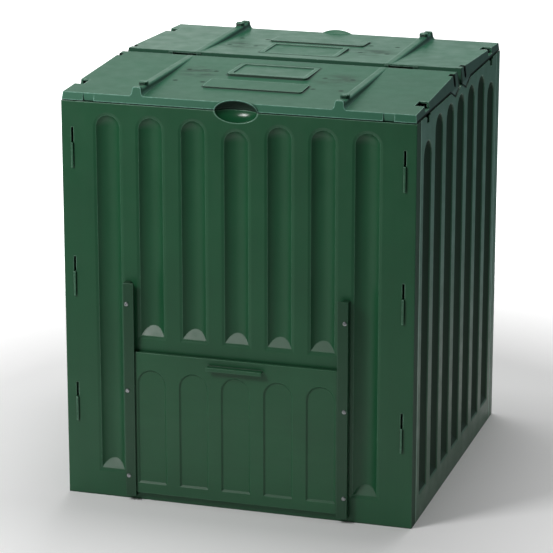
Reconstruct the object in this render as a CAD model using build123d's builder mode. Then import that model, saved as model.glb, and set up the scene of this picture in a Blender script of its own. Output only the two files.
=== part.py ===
from build123d import *
from math import atan, cos, degrees, pi, sin, sqrt
import os

# Square garden compost bin: four fluted wall panels hooked together at the corners, two lids that
# hinge back to back on a ridge beam, and a sliding hatch at the foot of the front and rear walls.
# Millimetres, +Z up, ground at Z = 0, front towards -Y, bin centred on X = Y = 0.

# Whole bin
bin_width = 820.0
bin_depth = 820.0
eave_height = 950.0
skin = 4.0

# Wall panels
wall_drop = 19.5
corner_return = 30.0
corner_gap = 2.5
flange_depth = 30.0
corner_round = 2.0

# Arched flutes pressed into every wall, with a soft rim on the front and rear ones
flute_width = 58.0
flute_depth = 15.0
flute_rim = 5.5
flute_rim_depth = 1.6
flute_count = 7
front_pitch = 100.0
side_pitch = 104.0
flute_top_drop = 46.0
centre_flute_drop = 62.0
flute_foot = 64.0
flute_foot_run = 26.0
flute_arch_flats = 10
side_flute_width = 72.0
side_flute_top_drop = 39.0
side_end_flute_drop = 76.0
side_flute_foot = 57.0
side_flute_draft = 30.0
side_boss_head = 15.0
flute_over_hatch = 34.0
vent_width = 8.0
vent_length = 110.0
vent_foot = 40.0

# Corner hooks and their slots
hook_count = 3
hook_pitch = 300.0
hook_inset = 26.0
hook_thickness = 4.5
hook_height = 45.0
hook_lip = 4.0
hook_lip_drop = 12.0
hook_clearance = 0.4
slot_height = 80.0
slot_top_drop = 79.5

# Peg holes in the foot flange
peg_hole_radius = 5.0
peg_hole_side = 80.0
peg_hole_inset = 17.0

# Top edge of the side walls
tooth_y = 52.0
tooth_half_width = 46.0
tooth_drop = 17.5
tooth_round = 14.0
peak_drop = 18.0
notch_y = 312.0
notch_width = 40.0
notch_step = 4.0
notch_slot_width = 22.0
notch_slot_drop = 38.0

# Rests on the front wall's head ledge that carry the lid's front edge
rest_side = 26.0
rest_width = 12.0
rest_depth = 3.0
rest_back = 5.0
rest_gap = 0.1

# Lids
skirt_drop = 17.5
lid_inset = 1.5
fascia_draft = 3.5
side_draft = 2.2
ridge_rise = 15.5
ridge_half_gap = 21.0
ridge_lean = 0.444
ridge_face_drop = 6.0
skirt_thickness = 7.5
seam_gap = 2.0
lug_radius = 16.8
rib_side = 177.0
rib_top_width = 20.0
rib_top = 15.8
rib_round = 4.0
rib_flare = 0.15
rib_foot_round = 9.0
tab_top = 19.5
tab_length = 18.0
peg_width = 20.0
peg_length = 18.0
peg_y = 354.0
peg_top = 24.0
peg_corner = 5.0
peg_bevel = 2.0
frame_width = 190.0
frame_length = 120.0
frame_y = 122.0
frame_top = 14.2
frame_rim = 11.0
frame_sink = 2.0
frame_round = 10.0
pad_width = 232.0
pad_length = 70.0
pad_y = 261.0
pad_proud = 3.2
pad_round = 8.0
round_flats = 3
pocket_side = 64.5
pocket_width = 25.0
pocket_depth = 2.0
side_notch_depth = 26.0
side_notch_drop = 10.0
ridge_notch_width = 18.0
ridge_notch_depth = 16.0
ridge_notch_drop = 13.0
ridge_notch_foot = 10.0

# Finger dish, half in the lid's hood and half in the wall
dish_width = 97.0
dish_radius = 24.5
dish_drop = 20.0
dish_shell = 3.0
dish_block_half = 55.0
dish_block_drop = 30.0
dish_block_corner = 24.0
dish_block_depth = 22.5
dish_block_taper = 33.0
dish_forward = 1.5

# Hinges and ridge beam
hinge_side = 147.0
hinge_y = 24.0
hinge_drop = 5.0
hinge_pin_radius = 3.0
pin_head_radius = 5.5
pin_head = 3.0
pin_grip = 0.04
pin_running = 0.08
bore_flat_count = 8
knuckle_half = 7.5
knuckle_corner = 4.0
knuckle_width = 10.0
ear_width = 52.0
ear_half = 5.2
ear_corner = 3.0
knuckle_gap = 3.5
window_width = 58.0
window_rise = 11.0
beam_width = 68.0
beam_top_drop = 24.0
beam_height = 46.0
beam_end_gap = 3.0
ear_foot_width = 18.0
saddle_length = 40.0
saddle_gap = 1.5
saddle_plate = 5.0
saddle_cheek_height = 30.0

# Hatches and rails
opening_width = 460.0
opening_height = 300.0
opening_foot = 40.0
jamb_depth = 16.0
hatch_overlap = 17.0
hatch_foot_overlap = 19.5
hatch_wall_gap = 1.5
hatch_depth = 10.5
hatch_flute_count = 5
hatch_flute_depth = 4.0
hatch_flute_margin = 24.0
hatch_flute_floor = 3.0
grip_width = 130.0
grip_reach = 15.0
grip_lip = 9.0
grip_drop = 16.0
rail_gap = 1.5
rail_thickness = 15.0
rail_lip = 8.0
rail_lip_thickness = 4.0
rail_lip_gap = 1.0
rail_length = 510.0
rail_stop = 8.0
rail_stop_gap = 0.5

half_w = bin_width / 2
half_d = bin_depth / 2
hinge_x = half_w - hinge_side
rib_x = half_w - rib_side
pocket_x = half_w - pocket_side
peg_hole_x = half_w - peg_hole_side
wall_top = eave_height - wall_drop
skirt_bottom = eave_height - skirt_drop
flute_radius = (flute_width ** 2 / 4 + flute_depth ** 2) / (2 * flute_depth)
flute_standoff = flute_radius - flute_depth
flute_outer = flute_width + 2 * flute_rim
boss_depth = flute_depth - 0.5
boss_width = flute_width + skin
boss_taper = degrees(atan((boss_width / 2 - flute_width / 4) / boss_depth))
side_flute_radius = (side_flute_width ** 2 / 4 + flute_depth ** 2) / (2 * flute_depth)
side_flute_standoff = side_flute_radius - flute_depth
side_boss_width = side_flute_width + skin
side_boss_taper = degrees(atan((side_boss_width / 2 - side_flute_width / 4) / boss_depth))
rim_taper = degrees(atan(flute_rim / flute_rim_depth))
opening_top = opening_foot + opening_height
hatch_half = opening_width / 2 + hatch_overlap
hatch_foot = opening_foot - hatch_foot_overlap
hatch_top = opening_top + hatch_foot_overlap
hatch_flute_bottom = hatch_top + flute_over_hatch

# Flutes of the front wall as (x, foot, top) of the round trough
front_flutes = []
for i in range(flute_count):
    step = i - (flute_count - 1) / 2
    at_x = step * front_pitch
    over_hatch = abs(at_x) < hatch_half
    foot = hatch_flute_bottom if over_hatch else flute_foot
    drop = centre_flute_drop if step == 0 else flute_top_drop
    front_flutes.append((at_x, foot, eave_height - drop))

# Flutes of the side wall as (y, foot, top): the two end ones stop under the lid notches
side_flutes = []
for i in range(flute_count):
    step = i - (flute_count - 1) / 2
    at_end = i in (0, flute_count - 1)
    drop = side_end_flute_drop if at_end else side_flute_top_drop
    side_flutes.append((step * side_pitch, side_flute_foot, eave_height - drop))

hook_feet = [eave_height - slot_top_drop - slot_height - i * hook_pitch for i in range(hook_count)]


# Outline of an arch on a flat foot, its round head made of short flats
def arch_outline(at, foot, top, width):
    half = width / 2
    turns = [pi * i / flute_arch_flats for i in range(flute_arch_flats + 1)]
    head = [(at + half * cos(turn), top - half + half * sin(turn)) for turn in turns]
    return [(at - half, foot), (at + half, foot)] + head[:-1] + [(at - half, top - half)]


# Outline of a rectangle, its round corners made of short flats
def soft_outline(width, length, radius, at_y=0):
    points = []
    for i, (out_x, out_y) in enumerate(((1, 1), (-1, 1), (-1, -1), (1, -1))):
        for j in range(round_flats + 1):
            turn = pi / 2 * (i + j / round_flats)
            at_x = out_x * (width / 2 - radius) + radius * cos(turn)
            points.append((at_x, at_y + out_y * (length / 2 - radius) + radius * sin(turn)))
    return points


# Cross-section of a lid rib: round shoulders and a hollow flare at the foot, both of short flats
def rib_outline(at, height):
    lean = atan(rib_flare)
    crown = rib_top_width / 2 - rib_round
    shoulder_x = crown + rib_round * cos(lean)
    shoulder_z = height - rib_round * (1 - sin(lean))
    flare_z = rib_foot_round * (1 - sin(lean))
    flare_x = shoulder_x + rib_flare * (shoulder_z - flare_z) + rib_foot_round * cos(lean)
    right = [(flare_x + skin, -skin), (flare_x + skin, 0)]
    for i in range(round_flats + 1):
        turn = 1.5 * pi - (pi / 2 - lean) * i / round_flats
        right.append((flare_x + rib_foot_round * cos(turn), rib_foot_round * (1 + sin(turn))))
    for i in range(round_flats + 1):
        turn = lean + (pi / 2 - lean) * i / round_flats
        right.append((crown + rib_round * cos(turn), height - rib_round * (1 - sin(turn))))
    left = [(-out, up) for out, up in reversed(right)]
    return [(at + out, eave_height - 1 + up * (height + 1) / height) for out, up in right + left]


# Sloping foot of a flute's trough, on which no water stays
trough_foot = (0, -flute_foot_run, flute_depth)

# Spheroid of the finger dish, solid and hollow, about an axis along X on the seam
dish_centre = (0, -half_d - dish_forward, eave_height - dish_drop)
dish_axis = Axis(dish_centre, (1, 0, 0))
dish_plane = Plane(origin=dish_centre)

with BuildPart() as dish_hollow:
    with BuildSketch(dish_plane):
        with BuildLine():
            EllipticalCenterArc((0, 0), dish_width / 2, dish_radius, arc_size=180)
            Line((-dish_width / 2, 0), (dish_width / 2, 0))
        make_face()
    revolve(axis=dish_axis)

with BuildPart() as dish_bowl:
    with BuildSketch(dish_plane):
        with BuildLine():
            EllipticalCenterArc((0, 0), dish_width / 2 + dish_shell, dish_radius + dish_shell, arc_size=180)
            Line((-dish_width / 2 - dish_shell, 0), (dish_width / 2 + dish_shell, 0))
        make_face()
    revolve(axis=dish_axis)
    split(bisect_by=Plane.XZ.offset(half_d), keep=Keep.BOTTOM)

dish_back = Plane(
    origin=(0, -half_d + skin / 2, eave_height - dish_drop),
    x_dir=(-1, 0, 0),
    z_dir=(0, 1, 0),
)

with BuildPart() as wall_bowl:
    with BuildSketch(dish_back) as dish_block:
        Rectangle(2 * dish_block_half, 2 * dish_block_drop)
        chamfer(dish_block.vertices(), dish_block_corner)
    extrude(amount=dish_block_depth, taper=dish_block_taper)
    split(bisect_by=Plane.XY.offset(wall_top), keep=Keep.BOTTOM)

with BuildPart() as hood_bowl:
    add(dish_bowl.part)
    split(bisect_by=Plane.XY.offset(skirt_bottom), keep=Keep.TOP)

# Round troughs of the front wall's flutes, up to where their domed heads begin
front_troughs = []
for at_x, foot, top in front_flutes:
    with BuildPart() as trough:
        with Locations((at_x, -half_d - flute_standoff, (foot + top - flute_width / 2) / 2)):
            Cylinder(flute_radius, top - flute_width / 2 - foot)
        split(bisect_by=Plane(origin=(0, -half_d, foot), z_dir=trough_foot), keep=Keep.TOP)
    front_troughs.append(trough.part)

# Front wall: one skin folded back at the corners, with ledges at head and foot
inner_face = Plane(origin=(0, -half_d + skin, 0), x_dir=(-1, 0, 0), z_dir=(0, 1, 0))
outer_face = Plane(origin=(0, -half_d, 0), x_dir=(-1, 0, 0), z_dir=(0, 1, 0))

with BuildPart() as front_wall:
    with BuildSketch():
        with Locations((0, -half_d + corner_return / 2)):
            Rectangle(bin_width, corner_return)
        with Locations((0, -half_d + skin + corner_return / 2)):
            Rectangle(bin_width - 2 * skin, corner_return, mode=Mode.SUBTRACT)
    extrude(amount=wall_top)
    fillet(front_wall.edges().filter_by(Axis.Z).group_by(Axis.Y)[0], corner_round)
    for ledge_z in (skin / 2, wall_top - skin / 2):
        with Locations((0, -half_d + flange_depth / 2 + skin / 2, ledge_z)):
            Box(bin_width - skin, flange_depth - skin, skin)
    add(wall_bowl.part)
    for at_x, foot, top in front_flutes:
        with BuildSketch(inner_face) as boss:
            with Locations((-at_x, (foot + top) / 2)):
                Rectangle(boss_width, top - foot + skin)
            chamfer(boss.vertices().group_by(Axis.Y)[-1], boss_width / 4)
        extrude(amount=boss_depth, taper=boss_taper)
    with BuildSketch(inner_face):
        with Locations((0, opening_foot + opening_height / 2)):
            Rectangle(opening_width + 2 * skin, opening_height + 2 * skin)
    extrude(amount=jamb_depth)
    for at_x, foot, top in front_flutes:
        with BuildSketch(outer_face):
            with BuildLine():
                Polyline(*arch_outline(-at_x, foot - flute_rim, top + flute_rim, flute_outer), close=True)
            make_face()
        extrude(amount=flute_rim_depth, taper=rim_taper, mode=Mode.SUBTRACT)
        with Locations((at_x, -half_d - flute_standoff, top - flute_width / 2)):
            Sphere(flute_radius, mode=Mode.SUBTRACT)
    for trough_part in front_troughs:
        add(trough_part, mode=Mode.SUBTRACT)
    with Locations((0, -half_d + jamb_depth, opening_foot + opening_height / 2)):
        Box(opening_width, 3 * jamb_depth, opening_height, mode=Mode.SUBTRACT)
    for foot in hook_feet:
        for side in (-1, 1):
            with Locations((side * (half_w - hook_inset), -half_d + skin / 2, foot + slot_height / 2)):
                Box(hook_thickness + 2 * hook_clearance, 2 * skin, slot_height, mode=Mode.SUBTRACT)
    for side in (-1, 1):
        with Locations((side * peg_hole_x, -half_d + peg_hole_inset, skin / 2)):
            Cylinder(peg_hole_radius, 2 * skin, mode=Mode.SUBTRACT)
    add(dish_hollow.part, mode=Mode.SUBTRACT)
    rest_height = skin / 2 + wall_drop - skirt_drop - rest_gap
    for side in (-1, 1):
        with Locations((side * (half_w - rest_side), -half_d + rest_back, wall_top - skin / 2)):
            Box(rest_width, rest_depth, rest_height, align=(Align.CENTER, Align.MIN, Align.MIN))

with BuildPart() as rear_wall:
    with Locations(Location((0, 0, 0), (0, 0, 180))):
        add(front_wall.part)

# Right wall: hangs between the front and rear returns, with hooks on both end flanges
panel_half = half_d - corner_return - corner_gap
tooth_foot = wall_top - tooth_drop
beam_top = eave_height - beam_top_drop
saddle_half = beam_width / 2 + saddle_gap
side_inner = Plane(origin=(half_w - skin, 0, 0), x_dir=(0, 1, 0), z_dir=(-1, 0, 0))

side_outer = Plane(origin=(half_w, 0, 0), x_dir=(0, -1, 0), z_dir=(-1, 0, 0))

# Round troughs of the side wall's flutes under steep arched heads, on sloping feet
side_trough_foot = (flute_foot_run, 0, flute_depth)
side_troughs = []
for at_y, foot, top in side_flutes:
    with BuildPart() as trough:
        with Locations((half_w + side_flute_standoff, at_y, (foot + top) / 2)):
            Cylinder(side_flute_radius, top - foot + 2 * skin)
        with BuildSketch(side_outer):
            with BuildLine():
                Polyline(*arch_outline(-at_y, 0, top, side_flute_width), close=True)
            make_face()
        extrude(amount=flute_depth + skin, taper=side_flute_draft, mode=Mode.INTERSECT)
        split(bisect_by=Plane(origin=(half_w, 0, foot), z_dir=side_trough_foot), keep=Keep.TOP)
    side_troughs.append(trough.part)

with BuildPart() as right_wall:
    with BuildSketch():
        with Locations((half_w - flange_depth / 2 - skin / 2, 0)):
            Rectangle(flange_depth + skin, 2 * panel_half)
        with Locations((half_w - flange_depth / 2 - 3 * skin / 2, 0)):
            Rectangle(flange_depth + skin, 2 * panel_half - 2 * skin, mode=Mode.SUBTRACT)
    extrude(amount=wall_top)
    for ledge_z in (skin / 2, wall_top - skin / 2):
        with Locations((half_w - flange_depth / 2 - skin / 2, 0, ledge_z)):
            Box(flange_depth + skin, 2 * panel_half, skin)
    for at_y, foot, top in side_flutes:
        with BuildSketch(side_inner) as boss:
            with Locations((at_y, -(foot + top + side_boss_head) / 2)):
                Rectangle(side_boss_width, top - foot + skin + side_boss_head)
            chamfer(boss.vertices().group_by(Axis.Y)[0], side_boss_width / 4)
        extrude(amount=boss_depth, taper=side_boss_taper)
    # W-shaped top edge: two valleys for the lid teeth and a peak between them
    with BuildSketch(Plane.YZ.offset(half_w - 2 * flange_depth)) as top_edge:
        with BuildLine():
            Polyline(
                (-tooth_y - tooth_half_width - tooth_round, wall_top + skin),
                (-tooth_y - tooth_half_width - tooth_round, wall_top),
                (-tooth_y - tooth_half_width, wall_top),
                (-tooth_y, tooth_foot),
                (0, eave_height - peak_drop),
                (tooth_y, tooth_foot),
                (tooth_y + tooth_half_width, wall_top),
                (tooth_y + tooth_half_width + tooth_round, wall_top),
                (tooth_y + tooth_half_width + tooth_round, wall_top + skin),
                close=True,
            )
        make_face()
        bends = [v for v in top_edge.vertices() if abs(v.X) < tooth_y + tooth_half_width + 1]
        fillet(bends, tooth_round)
    extrude(amount=4 * flange_depth, mode=Mode.SUBTRACT)
    # Saddle for the ridge beam
    with Locations((half_w - skin - saddle_length / 2, 0, beam_top - beam_height - saddle_plate / 2)):
        Box(saddle_length, 2 * saddle_half + 2 * saddle_plate, saddle_plate)
    for side in (-1, 1):
        with Locations(
            (
                half_w - skin - saddle_length / 2,
                side * (saddle_half + saddle_plate / 2),
                beam_top - beam_height + saddle_cheek_height / 2,
            )
        ):
            Box(saddle_length, saddle_plate, saddle_cheek_height)
    for trough_part in side_troughs:
        add(trough_part, mode=Mode.SUBTRACT)
    for at_y, foot, top in side_flutes:
        # Air slot low in the flute
        with Locations((half_w - flute_depth, at_y, foot + vent_foot + vent_length / 2)):
            Box(2 * flute_depth, vent_width, vent_length, mode=Mode.SUBTRACT)
    for side in (-1, 1):
        # T-shaped notch under each lid's side notch
        with Locations((half_w - flange_depth / 2, side * notch_y, wall_top)):
            Box(2 * flange_depth, notch_width, 2 * notch_step, mode=Mode.SUBTRACT)
        notch_foot = eave_height - notch_slot_drop
        with Locations((half_w - flange_depth / 2, side * notch_y, (wall_top + notch_foot) / 2)):
            Box(2 * flange_depth, notch_slot_width, wall_top - notch_foot, mode=Mode.SUBTRACT)
    for foot in hook_feet:
        with BuildSketch(Plane.YZ.offset(half_w - hook_inset - hook_thickness / 2)):
            with BuildLine():
                Polyline(
                    (-panel_half + skin / 2, foot + hook_clearance),
                    (-half_d - hook_clearance, foot + hook_clearance),
                    (-half_d - hook_clearance, foot - hook_lip_drop),
                    (-half_d - hook_clearance - hook_lip, foot - hook_lip_drop),
                    (-half_d - hook_clearance - hook_lip, foot + hook_height),
                    (-panel_half + skin / 2, foot + hook_height),
                    close=True,
                )
            make_face()
            mirror(about=Plane.YZ)
        extrude(amount=hook_thickness)

with BuildPart() as left_wall:
    with Locations(Location((0, 0, 0), (0, 0, 180))):
        add(right_wall.part)

# Front lid: shallow sloping tray, its sections drawn across the bin in the YZ plane
lid_edge = half_d - lid_inset
eave_y = lid_edge - fascia_draft
lid_half = half_w - lid_inset
tray_half = lid_half - skirt_thickness
slope = ridge_rise / (eave_y - ridge_half_gap)
ridge_top = eave_height + ridge_rise
ridge_foot_y = ridge_half_gap - ridge_lean * (ridge_rise + ridge_face_drop)
ridge_foot_z = eave_height - ridge_face_drop
tray_front = eave_y - skin
hinge_z = eave_height - hinge_drop
lug_y = hinge_y - 0.86 * lug_radius
lug_z = ridge_top - (ridge_half_gap - lug_y) / ridge_lean
valley_run = sqrt(tooth_y ** 2 + (eave_height - peak_drop - tooth_foot) ** 2)
valley_rise = (eave_height - peak_drop - tooth_foot) / valley_run
valley_go = tooth_y / valley_run
lug_foot_y = hinge_y - lug_radius * valley_rise
lug_foot_z = hinge_z - lug_radius * valley_go
lug_mid_y = hinge_y - lug_radius * 0.70
lug_mid_z = hinge_z - lug_radius * 0.714
pad_plane = Plane(
    origin=(0, -pad_y, eave_height + slope * (eave_y - pad_y)),
    x_dir=(1, 0, 0),
    z_dir=(0, -slope, 1),
)

with BuildPart() as front_lid:
    with BuildSketch(Plane.YZ):
        with BuildLine():
            Polyline(
                (-lid_edge, skirt_bottom),
                (-eave_y, eave_height),
                (-ridge_half_gap, ridge_top),
                (-ridge_foot_y, ridge_foot_z),
                (-ridge_foot_y, skirt_bottom),
                close=True,
            )
        make_face()
    extrude(amount=tray_half, both=True)
    # Two level ribs, flush with the fascia at the front
    for side in (-1, 1):
        for start, height in ((ridge_half_gap, rib_top), (lid_edge - tab_length, tab_top)):
            with BuildSketch(Plane.XZ.offset(start)):
                with BuildLine():
                    Polyline(*rib_outline(side * rib_x, height), close=True)
                make_face()
            extrude(amount=half_d - start)
    # Framed plaque with a level top and a bare sunk field, and a bare pad below it
    with BuildSketch(Plane.XY.offset(eave_height)):
        with BuildLine():
            Polyline(*soft_outline(frame_width, frame_length, frame_round, -frame_y), close=True)
        make_face()
    extrude(amount=frame_top)
    field_width = frame_width - 2 * frame_rim
    field_length = frame_length - 2 * frame_rim
    with BuildSketch(Plane.XY.offset(eave_height + frame_top)):
        with BuildLine():
            Polyline(*soft_outline(field_width, field_length, frame_round - skin, -frame_y), close=True)
        make_face()
    extrude(amount=-frame_sink, mode=Mode.SUBTRACT)
    with BuildSketch(pad_plane):
        with BuildLine():
            Polyline(*soft_outline(pad_width, pad_length, pad_round), close=True)
        make_face()
    extrude(amount=pad_proud)
    # Everything in front of the drafted fascia, then the hollow under the tray
    with BuildSketch(Plane.YZ):
        with BuildLine():
            Polyline(
                (-lid_edge, skirt_bottom),
                (-lid_edge + 3 * fascia_draft, skirt_bottom + 3 * skirt_drop),
                (-half_d - flange_depth, skirt_bottom + 3 * skirt_drop),
                (-half_d - flange_depth, skirt_bottom),
                close=True,
            )
        make_face()
    extrude(amount=tray_half, both=True, mode=Mode.SUBTRACT)
    with BuildSketch(Plane.YZ):
        with BuildLine():
            Polyline(
                (-tray_front, skirt_bottom - skin),
                (-tray_front, eave_height + slope * skin - skin),
                (-ridge_half_gap - 0.6 * skin, ridge_top - skin),
                (-ridge_foot_y - skin, ridge_foot_z),
                (0, ridge_foot_z),
                (0, skirt_bottom - skin),
                close=True,
            )
        make_face()
    extrude(amount=tray_half, both=True, mode=Mode.SUBTRACT)
    for side in (-1, 1):
        # Eight-sided peg with a bevelled top on the rib
        with BuildSketch(Plane.XY.offset(eave_height + rib_top / 2)) as peg:
            with Locations((side * rib_x, -peg_y)):
                Rectangle(peg_width, peg_length)
            chamfer(peg.vertices(), peg_corner)
        extrude(amount=peg_top - peg_bevel - rib_top / 2)
        with BuildSketch(Plane.XY.offset(eave_height + peg_top - peg_bevel)) as peg_cap:
            with Locations((side * rib_x, -peg_y)):
                Rectangle(peg_width, peg_length)
            chamfer(peg_cap.vertices(), peg_corner)
        extrude(amount=peg_bevel, taper=45)
        # Window in the ridge face for the hinge ear
        with Locations((side * hinge_x, -ridge_half_gap / 2, ridge_foot_z - skin)):
            Box(
                window_width,
                ridge_half_gap + skin,
                window_rise + ridge_face_drop + skin,
                align=(Align.CENTER, Align.CENTER, Align.MIN),
                mode=Mode.SUBTRACT,
            )
        # Two knuckles hang from the tray beside the ear
        for end in (-1, 1):
            knuckle_mid = side * hinge_x + end * (ear_width / 2 + knuckle_gap + knuckle_width / 2)
            with BuildSketch(Plane.YZ.offset(knuckle_mid - knuckle_width / 2)) as knuckle:
                with Locations((-hinge_y, (hinge_z - knuckle_half + ridge_top - skin / 2) / 2)):
                    Rectangle(2 * knuckle_half, ridge_top - skin / 2 - hinge_z + knuckle_half)
                chamfer(knuckle.vertices().group_by(Axis.Y)[0], knuckle_corner)
                with Locations((-hinge_y, hinge_z)):
                    RegularPolygon(
                        hinge_pin_radius + pin_running, bore_flat_count, major_radius=False, mode=Mode.SUBTRACT
                    )
            extrude(amount=knuckle_width)
        # Pocket in the fascia
        with Locations((side * pocket_x, -lid_edge + pocket_depth / 2, eave_height)):
            Box(pocket_width, pocket_depth + fascia_draft, 3 * skirt_drop, mode=Mode.SUBTRACT)
    # Side skirts with a tooth that drops into the wall's valley and a lug rounded about the hinge
    for side in (-1, 1):
        with BuildSketch(Plane.YZ.offset(side * tray_half)) as skirt:
            with BuildLine():
                Polyline(
                    (-lug_foot_y, lug_foot_z),
                    (-tooth_y, tooth_foot + seam_gap),
                    (-tooth_y - tooth_half_width, skirt_bottom),
                    (-lid_edge, skirt_bottom),
                    (-eave_y, eave_height),
                    (-ridge_half_gap, ridge_top),
                    (-lug_y, lug_z),
                )
                ThreePointArc((-lug_y, lug_z), (-lug_mid_y, lug_mid_z), (-lug_foot_y, lug_foot_z))
            make_face()
            bends = [
                v
                for v in skirt.vertices()
                if v.Y < skirt_bottom + 0.5 and -tooth_y - tooth_half_width - 1 < v.X < -tooth_y + 1
            ]
            fillet(bends, tooth_round)
        extrude(amount=side * skirt_thickness)
        with BuildSketch(Plane.XZ):
            with BuildLine():
                Polyline(
                    (side * lid_half, skirt_bottom),
                    (side * (lid_half - 3 * side_draft), skirt_bottom + 3 * skirt_drop),
                    (side * (half_w + flange_depth), skirt_bottom + 3 * skirt_drop),
                    (side * (half_w + flange_depth), skirt_bottom),
                    close=True,
                )
            make_face()
        extrude(amount=half_d + flange_depth, mode=Mode.SUBTRACT)
        # Notch over the wall's T slot, leaving a sill of skirt
        with Locations((side * half_w, -notch_y, eave_height - side_notch_drop)):
            Box(
                2 * side_notch_depth,
                notch_width,
                3 * skirt_drop,
                align=(Align.CENTER, Align.CENTER, Align.MIN),
                mode=Mode.SUBTRACT,
            )
        # Slit over the tooth
        with BuildSketch(Plane.YZ.offset(side * (half_w - ridge_notch_depth))):
            with BuildLine():
                Polyline(
                    (-tooth_y - ridge_notch_foot / 2, eave_height - ridge_notch_drop),
                    (-tooth_y + ridge_notch_foot / 2, eave_height - ridge_notch_drop),
                    (-tooth_y + ridge_notch_width / 2, ridge_top + skin),
                    (-tooth_y - ridge_notch_width / 2, ridge_top + skin),
                    close=True,
                )
            make_face()
        extrude(amount=side * 2 * ridge_notch_depth, mode=Mode.SUBTRACT)
    # Hood over the finger dish
    add(hood_bowl.part)
    add(dish_hollow.part, mode=Mode.SUBTRACT)

with BuildPart() as rear_lid:
    with Locations(Location((0, 0, 0), (0, 0, 180))):
        add(front_lid.part)

# Ridge beam: channel that drops into the side walls' saddles, with two ears at each hinge
beam_half = half_w - skin - boss_depth - beam_end_gap

with BuildPart() as ridge_beam:
    with Locations((0, 0, beam_top - beam_height / 2)):
        Box(2 * beam_half, beam_width, beam_height)
    with Locations((0, 0, beam_top - skin - beam_height / 2)):
        Box(3 * beam_half, beam_width - 2 * skin, beam_height, mode=Mode.SUBTRACT)
    for side in (-1, 1):
        with BuildSketch(Plane.YZ.offset(side * hinge_x - ear_width / 2)):
            for row in (-1, 1):
                with BuildLine():
                    Polyline(
                        (row * hinge_y - ear_foot_width / 2, beam_top - skin / 2),
                        (row * hinge_y - ear_half, hinge_z),
                        (row * hinge_y - ear_half, hinge_z + ear_half - ear_corner),
                        (row * hinge_y - ear_half + ear_corner, hinge_z + ear_half),
                        (row * hinge_y + ear_half - ear_corner, hinge_z + ear_half),
                        (row * hinge_y + ear_half, hinge_z + ear_half - ear_corner),
                        (row * hinge_y + ear_half, hinge_z),
                        (row * hinge_y + ear_foot_width / 2, beam_top - skin / 2),
                        close=True,
                    )
                make_face()
                with Locations((row * hinge_y, hinge_z)):
                    RegularPolygon(
                        hinge_pin_radius + pin_grip, bore_flat_count, major_radius=False, mode=Mode.SUBTRACT
                    )
        extrude(amount=ear_width)

# Hinge pins, each through one ear and two knuckles
pin_half = ear_width / 2 + knuckle_gap + knuckle_width
pin_places = {}
for row, row_name in ((-1, "front"), (1, "rear")):
    for side, side_name in ((-1, "left"), (1, "right")):
        pin_start = side * hinge_x - pin_half - pin_running
        pin_places[row_name + "_lid_pin_" + side_name] = (pin_start, row * hinge_y)

with BuildPart() as hinge_pin:
    with BuildSketch(Plane.YZ):
        Circle(hinge_pin_radius)
    extrude(amount=2 * pin_half + knuckle_gap)
    with BuildSketch(Plane.YZ):
        RegularPolygon(pin_head_radius, 6)
    extrude(amount=-pin_head)

# Front hatch: a shallow tray with the wall's flutes, a jutting finger grip, flanges towards the wall
hatch_back = half_d + hatch_wall_gap
hatch_front = hatch_back + hatch_depth
hatch_mid = (hatch_foot + hatch_top) / 2
hatch_height = hatch_top - hatch_foot
hatch_flute_height = hatch_height - 2 * hatch_flute_margin - grip_drop
hatch_flute_mid = hatch_foot + hatch_flute_margin + hatch_flute_height / 2
hatch_face = Plane(origin=(0, -hatch_front, 0), x_dir=(-1, 0, 0), z_dir=(0, 1, 0))
hatch_inside = Plane(origin=(0, -hatch_front + skin, 0), x_dir=(-1, 0, 0), z_dir=(0, 1, 0))
hatch_boss = hatch_flute_depth + hatch_flute_floor - skin
hatch_flute_places = [
    ((i - (hatch_flute_count - 1) / 2) * front_pitch, hatch_flute_mid) for i in range(hatch_flute_count)
]

with BuildPart() as front_hatch:
    with BuildSketch(hatch_face):
        with Locations((0, hatch_mid)):
            Rectangle(2 * hatch_half, hatch_height)
    extrude(amount=hatch_depth)
    with BuildSketch(hatch_inside):
        with Locations((0, hatch_mid)):
            Rectangle(2 * hatch_half - 2 * skin, hatch_height - 2 * skin)
    extrude(amount=hatch_depth, mode=Mode.SUBTRACT)
    with BuildSketch(hatch_inside) as hatch_bosses:
        with Locations(*hatch_flute_places):
            Rectangle(flute_outer, hatch_flute_height)
        chamfer(hatch_bosses.vertices().group_by(Axis.Y)[-1], flute_outer / 4)
    extrude(amount=hatch_boss)
    hatch_flute_top = hatch_flute_mid + hatch_flute_height / 2
    hatch_flute_foot = hatch_flute_mid - hatch_flute_height / 2
    for at_x, mid in hatch_flute_places:
        with BuildSketch(hatch_face):
            with BuildLine():
                Polyline(*arch_outline(at_x, hatch_flute_foot, hatch_flute_top, flute_outer), close=True)
            make_face()
        extrude(amount=hatch_flute_depth, taper=45, mode=Mode.SUBTRACT)
    # Grip: a hooked lip that fingers reach under
    with BuildSketch(Plane.YZ):
        with BuildLine():
            Polyline(
                (-hatch_front + skin / 2, hatch_top - grip_drop),
                (-hatch_front - grip_reach, hatch_top - grip_drop),
                (-hatch_front - grip_reach, hatch_top - grip_drop - grip_lip),
                (-hatch_front - grip_reach + skin, hatch_top - grip_drop - grip_lip),
                (-hatch_front - grip_reach + skin, hatch_top - grip_drop - skin),
                (-hatch_front + skin / 2, hatch_top - grip_drop - skin),
                close=True,
            )
        make_face()
    extrude(amount=grip_width / 2, both=True)

with BuildPart() as rear_hatch:
    with Locations(Location((0, 0, 0), (0, 0, 180))):
        add(front_hatch.part)

# Rails: an L section on each side of the hatch, with a stop at the foot
rail_inner = hatch_half + rail_gap
rail_outer = rail_inner + rail_thickness
rail_lip_y = hatch_front + rail_lip_gap
rail_foot = hatch_foot - rail_stop_gap - rail_stop

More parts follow.
